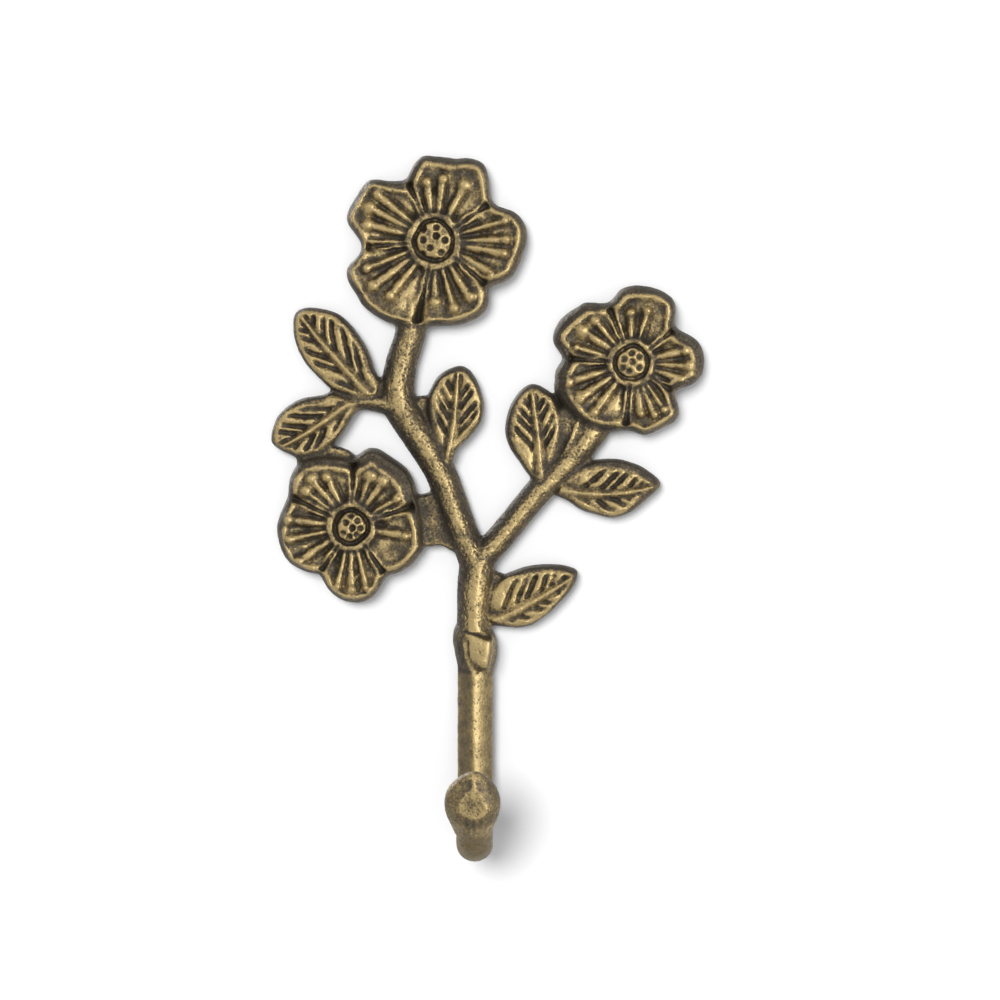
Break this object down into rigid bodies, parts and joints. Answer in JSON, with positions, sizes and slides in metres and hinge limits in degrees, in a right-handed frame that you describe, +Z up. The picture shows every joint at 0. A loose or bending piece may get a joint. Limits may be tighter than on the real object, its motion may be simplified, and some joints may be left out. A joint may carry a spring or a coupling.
{
  "type": "wall hook",
  "caption": "Cast brass wall hook shaped as a flowering branch, with a flat back and one forward J hook ending in a bud.",
  "frame": {"origin": "axis of the threaded fixing hole, at the flat back face that lies against the wall", "axes": "+Z up along the shaft, +Y into the wall, -Y to the room, +X to the right seen from the room"},
  "size_m": [0.1037, 0.0344, 0.1695],
  "materials": {
    "aged_brass": "antique cast brass, dark patina in the hollows and rubbed bright on the high spots"
  },
  "bodies": {
    "root": {"wall_hook": "aged_brass"}
  },
  "joints": []
}
